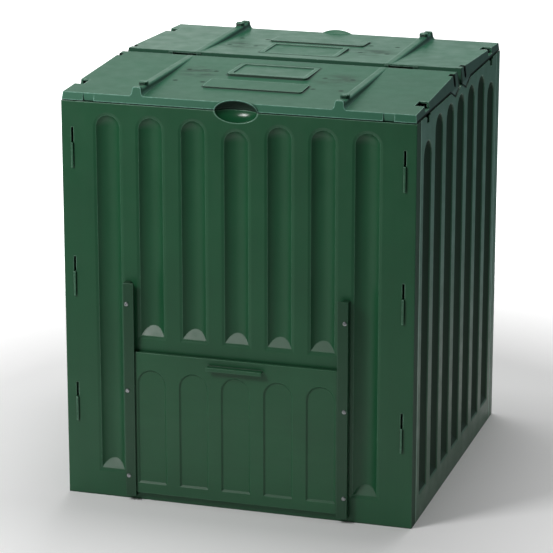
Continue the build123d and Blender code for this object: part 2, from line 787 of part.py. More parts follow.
with BuildPart() as front_rail_right:
    with BuildSketch(Plane.XY.offset(rail_foot)):
        with BuildLine():
            Polyline(
                (rail_outer, -half_d),
                (rail_inner, -half_d),
                (rail_inner, -rail_lip_y),
                (hatch_half - rail_lip, -rail_lip_y),
                (hatch_half - rail_lip, -rail_lip_y - rail_lip_thickness),
                (rail_outer, -rail_lip_y - rail_lip_thickness),
                close=True,
            )
        make_face()
    extrude(amount=rail_length)
    with BuildSketch(Plane.XY.offset(rail_foot)):
        with BuildLine():
            Polyline(
                (rail_inner + 1, -half_d),
                (hatch_half - rail_lip, -half_d),
                (hatch_half - rail_lip, -rail_lip_y - 1),
                (rail_inner + 1, -rail_lip_y - 1),
                close=True,
            )
        make_face()
    extrude(amount=rail_stop)

with BuildPart() as rear_rail_left:
    with Locations(Location((0, 0, 0), (0, 0, 180))):
        add(front_rail_right.part)

with BuildPart() as front_rail_left:
    add(front_rail_right.part.mirror(Plane.YZ))

with BuildPart() as rear_rail_right:
    add(front_rail_right.part.mirror(Plane.XZ))

os.makedirs("parts", exist_ok=True)

front_wall.part.label = "front_wall"
export_step(front_wall.part, "parts/front_wall.step")
rear_wall.part.label = "rear_wall"
export_step(rear_wall.part, "parts/rear_wall.step")
right_wall.part.label = "right_wall"
export_step(right_wall.part, "parts/right_wall.step")
left_wall.part.label = "left_wall"
export_step(left_wall.part, "parts/left_wall.step")
front_lid.part.label = "front_lid"
export_step(front_lid.part, "parts/front_lid.step")
rear_lid.part.label = "rear_lid"
export_step(rear_lid.part, "parts/rear_lid.step")
ridge_beam.part.label = "ridge_beam"
export_step(ridge_beam.part, "parts/ridge_beam.step")
for name, (start_x, at_y) in pin_places.items():
    with BuildPart() as placed_pin:
        with Locations((start_x, at_y, hinge_z)):
            add(hinge_pin.part)
    placed_pin.part.label = name
    export_step(placed_pin.part, "parts/" + name + ".step")
front_hatch.part.label = "front_hatch"
export_step(front_hatch.part, "parts/front_hatch.step")
rear_hatch.part.label = "rear_hatch"
export_step(rear_hatch.part, "parts/rear_hatch.step")
front_rail_left.part.label = "front_rail_left"
export_step(front_rail_left.part, "parts/front_rail_left.step")
front_rail_right.part.label = "front_rail_right"
export_step(front_rail_right.part, "parts/front_rail_right.step")
rear_rail_left.part.label = "rear_rail_left"
export_step(rear_rail_left.part, "parts/rear_rail_left.step")
rear_rail_right.part.label = "rear_rail_right"
export_step(rear_rail_right.part, "parts/rear_rail_right.step")
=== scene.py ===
import math

import bmesh
import bpy
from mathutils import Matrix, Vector


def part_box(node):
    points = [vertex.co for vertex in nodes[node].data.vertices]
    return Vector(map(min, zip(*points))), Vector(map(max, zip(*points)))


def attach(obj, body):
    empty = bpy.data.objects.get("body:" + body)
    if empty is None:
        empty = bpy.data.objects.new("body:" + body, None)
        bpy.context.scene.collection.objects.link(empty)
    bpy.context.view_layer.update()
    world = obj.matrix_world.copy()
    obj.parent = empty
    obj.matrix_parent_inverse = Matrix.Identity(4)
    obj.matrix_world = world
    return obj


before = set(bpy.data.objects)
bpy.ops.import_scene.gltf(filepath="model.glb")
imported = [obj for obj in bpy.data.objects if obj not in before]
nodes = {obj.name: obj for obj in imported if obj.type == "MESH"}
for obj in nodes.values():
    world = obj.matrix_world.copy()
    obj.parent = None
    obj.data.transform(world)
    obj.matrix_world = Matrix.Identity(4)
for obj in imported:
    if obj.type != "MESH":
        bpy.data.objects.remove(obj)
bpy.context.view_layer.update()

# Wall panels: four fluted panels hooked together at the corners. Each is injection moulded in one
# shot from moss-green recycled polypropylene, with a fine satin grain and slightly cloudy pigment.
# Sizes are in metres; a pair of numbers is a ramp, from nothing to all.
WALL_GREEN = (0.0108, 0.083, 0.033, 1.0)
WALL_SCUFF_HIGHLIGHT = (0.240, 0.440, 0.330, 1.0)
WALL_RUB_HIGHLIGHT = (0.76, 0.92)
NOISE_SPAN = (0.3, 0.7)
NOISE_ROUGHNESS = 0.55
PIGMENT_SCALE = 6.0
PIGMENT_TONE = (0.93, 1.07)
STREAK_SCALE = 55.0
STREAK_TONE = (0.965, 1.035)
SPECK_SCALE = 900.0
SPECK_SPAN = (0.35, 0.65)
SPECK_TONE = (0.97, 1.03)
SOFT_EDGE = 0.0024
RUB_HIGHLIGHT_WIDTH = 0.0046
RUB_HIGHLIGHT_MOST = 0.95
RUB_HIGHLIGHT_OPEN = (0.75, 0.95)
RUB_HIGHLIGHT_SCALE = 130.0
RUB_HIGHLIGHT_SPAN = (0.38, 0.62)
RUB_HIGHLIGHT_TONE = (0.55, 1.0)
EDGE_SAMPLES = 6
CORNER_REACH = 0.007
CORNER_SAMPLES = 8
CORNER_SHADE_OPEN = (0.36, 0.86)
CORNER_SHADE_TONE = (0.40, 1.0)
CLEFT_X = (0.388, 0.392)
CLEFT_Y = (0.078, 0.084)
CLEFT_Z = (0.885, 0.892)
CLEFT_SHADE = (0.0006, 0.002, 0.001, 1.0)
SATIN_SCALE = 28.0
GRAIN_SCALE = 1400.0
GRAIN_HEIGHT = 0.0003
WAVE_SCALE = 9.0
WAVE_STRENGTH = 0.10
WAVE_HEIGHT = 0.004
PLASTIC_IOR = 1.5
FRONT_HALF = (-0.01, 0.01)
FLANK_FROM = (0.4080, 0.4083)
RETURN_FROM = (0.3762, 0.3766)
RETURN_SHADE = 0.55
RETURN_MATT = 0.72
SEAM_FROM = (0.3680, 0.3700)
SEAM_HIGHLIGHT = 0.45
TROUGH_FROM = (0.3920, 0.3925)
TROUGH_TO = (0.4074, 0.4079)
TROUGH_SHADE = 0.36
TROUGH_MATT = 0.72
DISH_AT = (0.0, 0.4115, 0.930)
DISH_SQUASH = (0.505, 1.0, 1.0)
DISH_EDGE = (0.0250, 0.0258)
DISH_POLISH = 0.24
RIM_FROM = (0.0248, 0.0252)
RIM_TO = (0.0257, 0.0265)
RIM_Y = (0.4084, 0.4090)
RIM_HIGHLIGHT = 0.50


def step(tree, kind, sockets=None, **settings):
    """One shader or geometry node, with its settings, and its sockets set or linked."""
    made = tree.nodes.new(kind)
    for setting, value in settings.items():
        setattr(made, setting, value)
    for socket, value in (sockets or {}).items():
        if isinstance(value, bpy.types.NodeSocket):
            tree.links.new(value, made.inputs[socket])
        else:
            made.inputs[socket].default_value = value
    return made


def number(tree, operation, *values, clamp=False):
    """The result of a math node on its numbers."""
    made = step(tree, "ShaderNodeMath", dict(enumerate(values)), operation=operation, use_clamp=clamp)
    return made.outputs[0]


def times(tree, first, *others):
    """Numbers multiplied."""
    for other in others:
        first = number(tree, "MULTIPLY", first, other)
    return first


def spread(tree, value, low_in, high_in, low_out, high_out):
    """A number stretched from one range to another and held inside it."""
    sockets = {"Value": value, "From Min": low_in, "From Max": high_in, "To Min": low_out, "To Max": high_out}
    return step(tree, "ShaderNodeMapRange", sockets).outputs["Result"]


def over(tree, value, ramp):
    """0 below a ramp and 1 above it."""
    return spread(tree, value, *ramp, 0.0, 1.0)


def under(tree, value, ramp):
    """1 below a ramp and 0 above it."""
    return spread(tree, value, *ramp, 1.0, 0.0)


def toned(tree, mask, tone):
    """A factor that is 1 outside a mask and the tone inside it."""
    return spread(tree, mask, 0.0, 1.0, 1.0, tone)


def vector(tree, operation, *values):
    """The result of a vector math node."""
    return step(tree, "ShaderNodeVectorMath", dict(enumerate(values)), operation=operation).outputs["Vector"]


def distance(tree, first, second):
    """How far two points are from each other."""
    return step(tree, "ShaderNodeVectorMath", {0: first, 1: second}, operation="DISTANCE").outputs["Value"]


def parts(tree, whole):
    """The X, Y and Z of a vector."""
    return step(tree, "ShaderNodeSeparateXYZ", {0: whole}).outputs


def blended(tree, mask, first, second):
    """The first colour, and the second inside a mask."""
    return step(tree, "ShaderNodeMix", {0: mask, 6: first, 7: second}, data_type="RGBA").outputs[2]


def tinted(tree, colour, factor, mask=1.0):
    """A colour multiplied by a factor inside a mask."""
    return step(tree, "ShaderNodeMix", {0: mask, 6: colour, 7: factor}, data_type="RGBA",
                blend_type="MULTIPLY").outputs[2]


def matted(tree, mask, first, second):
    """The first roughness, and the second inside a mask."""
    return step(tree, "ShaderNodeMix", {0: mask, 2: first, 3: second}).outputs[0]


def cloud(tree, where, scale, detail=2.0, stretch=(1.0, 1.0, 1.0)):
    """Soft noise at a scale per metre, drawn out along an axis by a small stretch number."""
    placed = step(tree, "ShaderNodeMapping", {"Vector": where, "Scale": stretch}).outputs["Vector"]
    sockets = {"Vector": placed, "Scale": scale, "Detail": detail, "Roughness": NOISE_ROUGHNESS}
    return step(tree, "ShaderNodeTexNoise", sockets).outputs["Fac"]


def moulded_plastic(name, base, scuff_highlight, gloss=(0.36, 0.46), flow=(1.0, 1.0, 0.06), grain=0.10,
                    rub_highlight=(0.82, 0.975)):
    """Satin moulded plastic: cloudy pigment, flow lines, worn edges with a painted highlight, painted shade
    in corners and the cleft, fine grain.
    """
    plastic = bpy.data.materials.new(name)
    plastic.use_nodes = True
    tree = plastic.node_tree
    tree.nodes.clear()
    where = step(tree, "ShaderNodeTexCoord").outputs["Object"]
    pigment = spread(tree, cloud(tree, where, PIGMENT_SCALE, 4.0), *NOISE_SPAN, *PIGMENT_TONE)
    streak = spread(tree, cloud(tree, where, STREAK_SCALE, 3.0, flow), *NOISE_SPAN, *STREAK_TONE)
    speck = spread(tree, cloud(tree, where, SPECK_SCALE), *SPECK_SPAN, *SPECK_TONE)
    colour = tinted(tree, base, times(tree, pigment, streak, speck))

    round_edge = step(tree, "ShaderNodeBevel", {"Radius": SOFT_EDGE}, samples=EDGE_SAMPLES).outputs["Normal"]
    flat = step(tree, "ShaderNodeNewGeometry").outputs["True Normal"]
    highlight_reach = step(tree, "ShaderNodeBevel", {"Radius": RUB_HIGHLIGHT_WIDTH}, samples=EDGE_SAMPLES).outputs["Normal"]
    along = step(tree, "ShaderNodeVectorMath", {0: highlight_reach, 1: flat},
                 operation="DOT_PRODUCT").outputs["Value"]
    open_sky = step(tree, "ShaderNodeAmbientOcclusion", {"Distance": CORNER_REACH},
                    samples=CORNER_SAMPLES).outputs["AO"]
    # Scuffed edges: a lighter colour along convex edges, partly real wear and partly a painted highlight.
    edge = times(tree, spread(tree, along, *rub_highlight, RUB_HIGHLIGHT_MOST, 0.0), over(tree, open_sky, RUB_HIGHLIGHT_OPEN))
    highlit_edges = times(tree, edge, spread(tree, cloud(tree, where, RUB_HIGHLIGHT_SCALE, 3.0), *RUB_HIGHLIGHT_SPAN, *RUB_HIGHLIGHT_TONE))
    # Painted shade: the colour is darkened where ambient occlusion finds corners and creases.
    corner_shade = tinted(tree, colour, spread(tree, open_sky, *CORNER_SHADE_OPEN, *CORNER_SHADE_TONE))
    # Painted shade: in the cleft at the joint over the side walls the edge colour turns near black.
    place = parts(tree, vector(tree, "ABSOLUTE", where))
    cleft = times(tree, over(tree, place["X"], CLEFT_X), under(tree, place["Y"], CLEFT_Y),
                  over(tree, place["Z"], CLEFT_Z))
    wear_shade_highlight = blended(tree, highlit_edges, corner_shade, blended(tree, cleft, scuff_highlight, CLEFT_SHADE))

    satin = spread(tree, cloud(tree, where, SATIN_SCALE, 4.0), *NOISE_SPAN, *gloss)
    fine = cloud(tree, where, GRAIN_SCALE, 3.0)
    skin = step(tree, "ShaderNodeBump",
                {"Strength": grain, "Distance": GRAIN_HEIGHT, "Height": fine, "Normal": round_edge})
    wave = cloud(tree, where, WAVE_SCALE, 1.0)
    sink = step(tree, "ShaderNodeBump",
                {"Strength": WAVE_STRENGTH, "Distance": WAVE_HEIGHT, "Height": wave,
                 "Normal": skin.outputs["Normal"]})
    shader = step(tree, "ShaderNodeBsdfPrincipled",
                  {"Base Color": wear_shade_highlight, "Roughness": satin, "Normal": sink.outputs["Normal"]})
    shader.inputs["IOR"].default_value = PLASTIC_IOR
    step(tree, "ShaderNodeOutputMaterial", {"Surface": shader.outputs["BSDF"]})
    return plastic


def finish_node(name, material):
    """A CAD node shown with its own material."""
    held = nodes[name].data.materials
    held.clear()
    held.append(material)


def from_dish(tree, folded):
    """How far a point is from the middle of the finger dish, with its width squashed to its height."""
    return distance(tree, vector(tree, "MULTIPLY", folded, DISH_SQUASH), DISH_AT)


def finish_dish(plastic, gloss, shade, edge):
    """The skin of the finger dish, or of the hood above it, out to the edge of its ellipsoid; a shade below 1
    is painted shade.
    """
    tree = plastic.node_tree
    where = tree.nodes["Texture Coordinate"].outputs["Object"]
    outside = over(tree, from_dish(tree, vector(tree, "ABSOLUTE", where)), edge)
    rough = tree.nodes["Principled BSDF"].inputs["Roughness"]
    tree.links.new(matted(tree, outside, gloss, rough.links[0].from_socket), rough)
    paint = tree.nodes["Principled BSDF"].inputs["Base Color"]
    shaded = spread(tree, outside, 0.0, 1.0, shade, 1.0)
    tree.links.new(tinted(tree, paint.links[0].from_socket, shaded), paint)


wall_plastic = moulded_plastic("wall_moss_green", WALL_GREEN, WALL_SCUFF_HIGHLIGHT, rub_highlight=WALL_RUB_HIGHLIGHT)
finish_dish(wall_plastic, DISH_POLISH, 1.0, DISH_EDGE)
wall_tree = wall_plastic.node_tree
where = wall_tree.nodes["Texture Coordinate"].outputs["Object"]
folded = vector(wall_tree, "ABSOLUTE", where)
place = parts(wall_tree, folded)
frontal = under(wall_tree, parts(wall_tree, where)["Y"], FRONT_HALF)
flank = times(wall_tree, over(wall_tree, place["X"], FLANK_FROM), under(wall_tree, place["Y"], FLANK_FROM))
corner = times(wall_tree, flank, frontal, over(wall_tree, place["Y"], RETURN_FROM))
seam = times(wall_tree, flank, over(wall_tree, place["Y"], SEAM_FROM),
             under(wall_tree, place["Y"], RETURN_FROM))
trough = times(wall_tree, over(wall_tree, place["X"], TROUGH_FROM), under(wall_tree, place["X"], TROUGH_TO),
               under(wall_tree, place["Y"], SEAM_FROM))
away = from_dish(wall_tree, folded)
rim = times(wall_tree, over(wall_tree, away, RIM_FROM), under(wall_tree, away, RIM_TO),
            over(wall_tree, place["Y"], RIM_Y))
# Painted highlight: light lines along the corner seams of the side walls and round the finger dish's rim.
highlit_edges = number(wall_tree, "MAXIMUM", times(wall_tree, seam, SEAM_HIGHLIGHT), times(wall_tree, rim, RIM_HIGHLIGHT))
paint = wall_tree.nodes["Principled BSDF"].inputs["Base Color"]
seam_rim_highlight = blended(wall_tree, highlit_edges, paint.links[0].from_socket, WALL_SCUFF_HIGHLIGHT)
# Painted shade: the front corner return strips and the side flute troughs are darkened.
shadow = times(wall_tree, toned(wall_tree, corner, RETURN_SHADE), toned(wall_tree, trough, TROUGH_SHADE))
wall_tree.links.new(tinted(wall_tree, seam_rim_highlight, shadow), paint)
sheen = wall_tree.nodes["Principled BSDF"].inputs["Roughness"]
for skin, matt in ((trough, TROUGH_MATT), (corner, RETURN_MATT)):
    wall_tree.links.new(matted(wall_tree, skin, sheen.links[0].from_socket, matt), sheen)
for wall in ("front_wall", "rear_wall", "left_wall", "right_wall"):
    finish_node(wall, wall_plastic)

# Hatches and rails: each hatch is a shallow moulded tray that slides up between two rails. The
# hatch is of the walls' plastic in a fresh green, the rails of a darker batch, drawn out in length.
HATCH_GREEN = (0.0135, 0.086, 0.035, 1.0)
HATCH_SCUFF_HIGHLIGHT = (0.044, 0.152, 0.080, 1.0)
HATCH_GLOSS = (0.34, 0.44)
HATCH_FLOW = (0.06, 1.0, 1.0)
RAIL_GREEN = (0.009, 0.054, 0.023, 1.0)
RAIL_SCUFF_HIGHLIGHT = (0.030, 0.105, 0.056, 1.0)
RAIL_GLOSS = (0.30, 0.42)
RAIL_FLOW = (1.0, 1.0, 0.02)
RAIL_GRAIN = 0.06

hatch_plastic = moulded_plastic("hatch_moss_green", HATCH_GREEN, HATCH_SCUFF_HIGHLIGHT, HATCH_GLOSS, HATCH_FLOW)
rail_plastic = moulded_plastic("rail_dark_green", RAIL_GREEN, RAIL_SCUFF_HIGHLIGHT, RAIL_GLOSS, RAIL_FLOW, RAIL_GRAIN)
for side in ("front", "rear"):
    finish_node(side + "_hatch", hatch_plastic)
    for hand in ("left", "right"):
        finish_node(side + "_rail_" + hand, rail_plastic)

# Rail screws: three zinc-plated pan-head screws with a cross recess hold each rail to the wall.
# They are driven from outside, through the thick edge of the rail. Crown steps are shares of the
# head's height and width, blades of the cross are shares of its radius.
SCREW_COUNT = 3
SCREW_PITCH = 0.206
SCREW_FIRST = 0.049
SCREW_RADIUS = 0.0052
SCREW_HEIGHT = 0.0026
SCREW_SEAT = 0.0002
SCREW_SIDES = 24
SCREW_DRAFT = 0.95
SCREW_CHEEK = 0.4
SCREW_CROWN = ((0.35, 0.86), (0.20, 0.66))
CROSS_LONG = 1.05
CROSS_WIDE = 0.26
RAIL_EDGE = 0.0075
ZINC_LIGHT = (0.50, 0.51, 0.52, 1.0)
ZINC_DARK = (0.30, 0.31, 0.32, 1.0)
ZINC_GLOSS = (0.26, 0.44)
DRAWN_SCALE = 900.0
DRAWN_STRENGTH = 0.15
DRAWN_HEIGHT = 0.0002
PATCH_SCALE = 160.0


def bright_zinc(name, stretch):
    """Zinc-plated steel with fine drawn lines and a slightly uneven passivated colour."""
    zinc = bpy.data.materials.new(name)
    zinc.use_nodes = True
    tree = zinc.node_tree
    tree.nodes.clear()
    where = step(tree, "ShaderNodeTexCoord").outputs["Object"]
    drawn = cloud(tree, where, DRAWN_SCALE, 3.0, stretch)
    patch = over(tree, cloud(tree, where, PATCH_SCALE, 3.0), NOISE_SPAN)
    tint = blended(tree, patch, ZINC_DARK, ZINC_LIGHT)
    satin = spread(tree, drawn, *NOISE_SPAN, *ZINC_GLOSS)
    lines = step(tree, "ShaderNodeBump",
                 {"Strength": DRAWN_STRENGTH, "Distance": DRAWN_HEIGHT, "Height": drawn})
    shader = step(tree, "ShaderNodeBsdfPrincipled",
                  {"Base Color": tint, "Roughness": satin, "Normal": lines.outputs["Normal"]})
    shader.inputs["Metallic"].default_value = 1.0
    step(tree, "ShaderNodeOutputMaterial", {"Surface": shader.outputs["BSDF"]})
    return zinc


screw_zinc = bright_zinc("screw_zinc", (1.0, 1.0, 1.0))
screw_row = bpy.data.node_groups.new("screw_row", "GeometryNodeTree")
screw_inputs = {}
for label, kind in (
    ("First", "NodeSocketVector"),
    ("Count", "NodeSocketInt"),
    ("Pitch", "NodeSocketFloat"),
    ("Radius", "NodeSocketFloat"),
    ("Height", "NodeSocketFloat"),
    ("Turn", "NodeSocketVector"),
    ("Metal", "NodeSocketMaterial"),
):
    screw_inputs[label] = screw_row.interface.new_socket(label, in_out="INPUT", socket_type=kind).identifier
screw_row.interface.new_socket("Geometry", in_out="OUTPUT", socket_type="NodeSocketGeometry")
given = step(screw_row, "NodeGroupInput").outputs
foot = step(screw_row, "GeometryNodeMeshCone",
            {"Vertices": SCREW_SIDES, "Radius Top": times(screw_row, given["Radius"], SCREW_DRAFT),
             "Radius Bottom": given["Radius"], "Depth": times(screw_row, given["Height"], SCREW_CHEEK)})
head, top = foot.outputs["Mesh"], foot.outputs["Top"]
for rise, shrink in SCREW_CROWN:
    raised = step(screw_row, "GeometryNodeExtrudeMesh",
                  {"Mesh": head, "Selection": top, "Offset Scale": times(screw_row, given["Height"], rise)},
                  mode="FACES")
    narrowed = step(screw_row, "GeometryNodeScaleElements",
                    {"Geometry": raised.outputs["Mesh"], "Selection": raised.outputs["Top"], "Scale": shrink})
    head, top = narrowed.outputs["Geometry"], raised.outputs["Top"]
blades = step(screw_row, "GeometryNodeJoinGeometry")
for long_x, long_y in ((CROSS_LONG, CROSS_WIDE), (CROSS_WIDE, CROSS_LONG)):
    reach = step(screw_row, "ShaderNodeCombineXYZ",
                 {"X": times(screw_row, given["Radius"], long_x),
                  "Y": times(screw_row, given["Radius"], long_y), "Z": given["Height"]})
    blade = step(screw_row, "GeometryNodeMeshCube", {"Size": reach.outputs["Vector"]})
    lift = step(screw_row, "ShaderNodeCombineXYZ", {"Z": given["Height"]})
    set_in = step(screw_row, "GeometryNodeTransform",
                  {"Geometry": blade.outputs["Mesh"], "Translation": lift.outputs["Vector"]})
    screw_row.links.new(set_in.outputs["Geometry"], blades.inputs["Geometry"])
recess = step(screw_row, "GeometryNodeMeshBoolean",
              {"Mesh 1": head, "Mesh 2": blades.outputs["Geometry"], "Self Intersection": True},
              operation="DIFFERENCE", solver="EXACT")
gap = step(screw_row, "ShaderNodeCombineXYZ", {"Z": given["Pitch"]})
row = step(screw_row, "GeometryNodeMeshLine",
           {"Count": given["Count"], "Start Location": given["First"], "Offset": gap.outputs["Vector"]})
turn = step(screw_row, "FunctionNodeEulerToRotation", {"Euler": given["Turn"]})
placed = step(screw_row, "GeometryNodeInstanceOnPoints",
              {"Points": row.outputs["Mesh"], "Instance": recess.outputs["Mesh"],
               "Rotation": turn.outputs["Rotation"]})
real = step(screw_row, "GeometryNodeRealizeInstances", {"Geometry": placed.outputs["Instances"]})
dressed = step(screw_row, "GeometryNodeSetMaterial",
               {"Geometry": real.outputs["Geometry"], "Material": given["Metal"]})
step(screw_row, "NodeGroupOutput", {"Geometry": dressed.outputs["Geometry"]})


def grown(name, tree, settings):
    """The plain mesh object that a geometry tree gives for its named inputs."""
    seed = bpy.data.objects.new(name + "_seed", bpy.data.meshes.new(name + "_seed"))
    bpy.context.scene.collection.objects.link(seed)
    growth = seed.modifiers.new("growth", "NODES")
    growth.node_group = tree
    for identifier, value in settings.items():
        growth[identifier] = value
    bpy.context.view_layer.update()
    ready = seed.evaluated_get(bpy.context.evaluated_depsgraph_get())
    mesh = bpy.data.meshes.new_from_object(ready)
    bpy.data.objects.remove(seed)
    piece = bpy.data.objects.new(name, mesh)
    mesh.name = name
    bpy.context.scene.collection.objects.link(piece)
    return piece


for side, outward in (("front", -1), ("rear", 1)):
    for hand in ("left", "right"):
        low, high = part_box(side + "_rail_" + hand)
        face_y = low.y if outward < 0 else high.y
        edge_x = high.x - RAIL_EDGE if high.x > 0 else low.x + RAIL_EDGE
        settings = {
            "First": (edge_x, face_y - outward * SCREW_SEAT, low.z + SCREW_FIRST),
            "Count": SCREW_COUNT,
            "Pitch": SCREW_PITCH,
            "Radius": SCREW_RADIUS,
            "Height": SCREW_HEIGHT,
            "Turn": (-outward * math.pi / 2, 0.0, 0.0),
            "Metal": screw_zinc,
        }
        screws = grown(side + "_" + hand + "_rail_screws", screw_row,
                       {screw_inputs[label]: value for label, value in settings.items()})
        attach(screws, "bin")

# Ridge beam and hinge pins: a moulded channel dropped into saddles on the side walls, and four
# zinc-plated steel pins that tie the lids' knuckles to its ears.
# Painted shade: the beam is coloured darker so that it reads as shade in the hinge window in front of it.
BEAM_SHADE_GREEN = (0.008, 0.030, 0.015, 1.0)
BEAM_SCUFF_HIGHLIGHT = (0.022, 0.060, 0.036, 1.0)
BEAM_GLOSS = (0.38, 0.50)
BEAM_FLOW = (0.03, 1.0, 1.0)
PIN_DRAWN = (0.03, 1.0, 1.0)

beam_plastic = moulded_plastic("beam_dark_green", BEAM_SHADE_GREEN, BEAM_SCUFF_HIGHLIGHT, BEAM_GLOSS, BEAM_FLOW)
finish_node("ridge_beam", beam_plastic)
pin_zinc = bright_zinc("pin_zinc", PIN_DRAWN)
for side in ("front", "rear"):
    for hand in ("left", "right"):
        finish_node(side + "_lid_pin_" + hand, pin_zinc)

# Lids: two shallow trays hinged back to back, moulded in the walls' plastic. Each tray is gated on
# both sides of the plaque, where four ejector marks stand round a dark smear in the skin. Painted shade
# lies round plaque, pad and pegs, on the ridge face and side skirts, in the notches at the ridge, and in
# the joint over the side walls; the fascia and its pockets get painted light.
LID_GREEN = (0.0105, 0.092, 0.045, 1.0)
LID_SCUFF_HIGHLIGHT = (0.300, 0.500, 0.400, 1.0)
LID_GLOSS = (0.33, 0.42)
LID_FLOW = (0.05, 1.0, 1.0)
LID_GRAIN = 0.08
FACING_UP = (0.5, 0.8)
FACING_LEVEL = (0.3, 0.6)
FACING_DOWN = (-0.5, -0.2)
FACING_FRONT = (0.86, 0.93)
FACING_SIDE = (0.90, 0.97)
GATE_AT = (0.162, 0.200, 0.958)
EJECTOR_X = 0.0325
EJECTOR_Y = 0.050
EJECTOR_EDGE = (0.0040, 0.0080)
EJECTOR_DARK = 0.35
SMEAR_AT = (0.160, 0.160, 0.960)
SMEAR_EDGE = (0.0198, 0.066)
SMEAR_SCALE = 42.0
SMEAR_DRAWN = (0.45, 1.0, 1.0)
SMEAR_SPAN = (0.43, 0.58)
SMEAR_DARK = 0.48
SMEAR_MATT = 0.42
PLAQUE_OUTLINE = (0.122, 0.095, 0.060, 0.010)
PAD_OUTLINE = (0.261, 0.116, 0.035, 0.008)
OUTLINE_TALL = 2.0
OUTLINE_LIP = 0.0004
OUTLINE_FOOT = (0.0020, 0.0060)
OUTLINE_SHADE = 0.45
OUTLINE_MATT = 0.60
MARK_MATT = 0.70
FASCIA_FROM = (0.3980, 0.4000)
FASCIA_PAINTED_LIGHT = (1.20, 1.36, 1.42, 1.0)
FASCIA_MATT = 0.52
POCKET_FROM = (0.3327, 0.3330)
POCKET_TO = (0.3580, 0.3583)
POCKET_PAINTED_LIGHT = 0.10
RIDGE_FROM = (0.0209, 0.0214)
RIDGE_SHADE = 0.62
RIDGE_MATT = 0.90
SKIRT_SHADE = 0.45
PEG_AT = (0.233, 0.354, 0.968)
PEG_REACH = (0.0150, 0.0175)
PEG_SIDE_SHADE = 0.45
TOOTH_Y = 0.052
TOOTH_END = 0.098
TOOTH_DROP = 0.0175
JOINT_X = (0.4060, 0.4070)
JOINT_Z = (0.9352, 0.9368)
JOINT_SHADE = 0.04
JOINT_MATT = 0.95
NOTCH_FROM = (0.3930, 0.3936)
NOTCH_TO = (0.4072, 0.4078)
NOTCH_REACH = (0.0094, 0.0100)
NOTCH_SHADE = 0.06
HOOD_EDGE = (0.0300, 0.0306)
HOOD_MATT = 0.62
HOOD_SHADE = 0.25

lid_plastic = moulded_plastic("lid_moss_green", LID_GREEN, LID_SCUFF_HIGHLIGHT, LID_GLOSS, LID_FLOW, LID_GRAIN)
lid_tree = lid_plastic.node_tree
where = lid_tree.nodes["Texture Coordinate"].outputs["Object"]
facing = lid_tree.nodes["Texture Coordinate"].outputs["Normal"]
folded = vector(lid_tree, "ABSOLUTE", where)
place = parts(lid_tree, folded)
upward = parts(lid_tree, facing)["Z"]
upright = parts(lid_tree, vector(lid_tree, "ABSOLUTE", facing))
upper_skin = over(lid_tree, upward, FACING_UP)
flank = over(lid_tree, upright["X"], FACING_SIDE)

clean = 1.0
for step_x in (-EJECTOR_X, EJECTOR_X):
    for step_y in (-EJECTOR_Y, EJECTOR_Y):
        spot_at = (GATE_AT[0] + step_x, GATE_AT[1] + step_y, GATE_AT[2])
        clean = times(lid_tree, clean, over(lid_tree, distance(lid_tree, folded, spot_at), EJECTOR_EDGE))
spot = times(lid_tree, upper_skin, under(lid_tree, clean, (0.0, 1.0)))
smear = times(lid_tree, upper_skin, under(lid_tree, distance(lid_tree, folded, SMEAR_AT), SMEAR_EDGE),
              over(lid_tree, cloud(lid_tree, where, SMEAR_SCALE, 3.0, SMEAR_DRAWN), SMEAR_SPAN))
marks_and_shade = times(lid_tree, toned(lid_tree, spot, EJECTOR_DARK), toned(lid_tree, smear, SMEAR_DARK))
rough_mark = number(lid_tree, "MULTIPLY_ADD", smear, SMEAR_MATT, spot, clamp=True)
# Painted shade: a thin dark band round the foot of the plaque and pad; the ejector marks and smear above are
# real marks.
for mid_y, half_x, half_y, rounding in (PLAQUE_OUTLINE, PAD_OUTLINE):
    quarter = vector(lid_tree, "ABSOLUTE", vector(lid_tree, "SUBTRACT", folded, (0.0, mid_y, 0.0)))
    core = (half_x - rounding, half_y - rounding, OUTLINE_TALL)
    beyond = vector(lid_tree, "MAXIMUM", vector(lid_tree, "SUBTRACT", quarter, core), (0.0, 0.0, 0.0))
    reach = step(lid_tree, "ShaderNodeVectorMath", {0: beyond}, operation="LENGTH").outputs["Value"]
    outline_shade = times(lid_tree, over(lid_tree, reach, (rounding - OUTLINE_LIP, rounding)),
                 under(lid_tree, reach, (rounding + OUTLINE_FOOT[0], rounding + OUTLINE_FOOT[1])),
                 over(lid_tree, upward, FACING_DOWN))
    marks_and_shade = times(lid_tree, marks_and_shade, toned(lid_tree, outline_shade, OUTLINE_SHADE))
    rough_mark = number(lid_tree, "MULTIPLY_ADD", outline_shade, OUTLINE_MATT, rough_mark, clamp=True)

fascia = times(lid_tree, over(lid_tree, place["Y"], FASCIA_FROM), over(lid_tree, upright["Y"], FACING_FRONT))
pocket = times(lid_tree, fascia, over(lid_tree, place["X"], POCKET_FROM),
               under(lid_tree, place["X"], POCKET_TO))
ridge = under(lid_tree, place["Y"], RIDGE_FROM)
peg = times(lid_tree, under(lid_tree, distance(lid_tree, folded, PEG_AT), PEG_REACH),
            under(lid_tree, upward, FACING_LEVEL))
tooth = number(lid_tree, "MINIMUM", over(lid_tree, place["Y"], (0.0, TOOTH_Y)),
               under(lid_tree, place["Y"], (TOOTH_Y, TOOTH_END)))
levelled = number(lid_tree, "MULTIPLY_ADD", tooth, TOOTH_DROP, place["Z"])
joint = times(lid_tree, under(lid_tree, levelled, JOINT_Z), over(lid_tree, place["X"], JOINT_X), flank)
beside = number(lid_tree, "ABSOLUTE", number(lid_tree, "SUBTRACT", place["Y"], TOOTH_Y))
notch = times(lid_tree, under(lid_tree, beside, NOTCH_REACH), over(lid_tree, place["X"], NOTCH_FROM),
              under(lid_tree, place["X"], NOTCH_TO))
shut = number(lid_tree, "MAXIMUM", joint, notch)
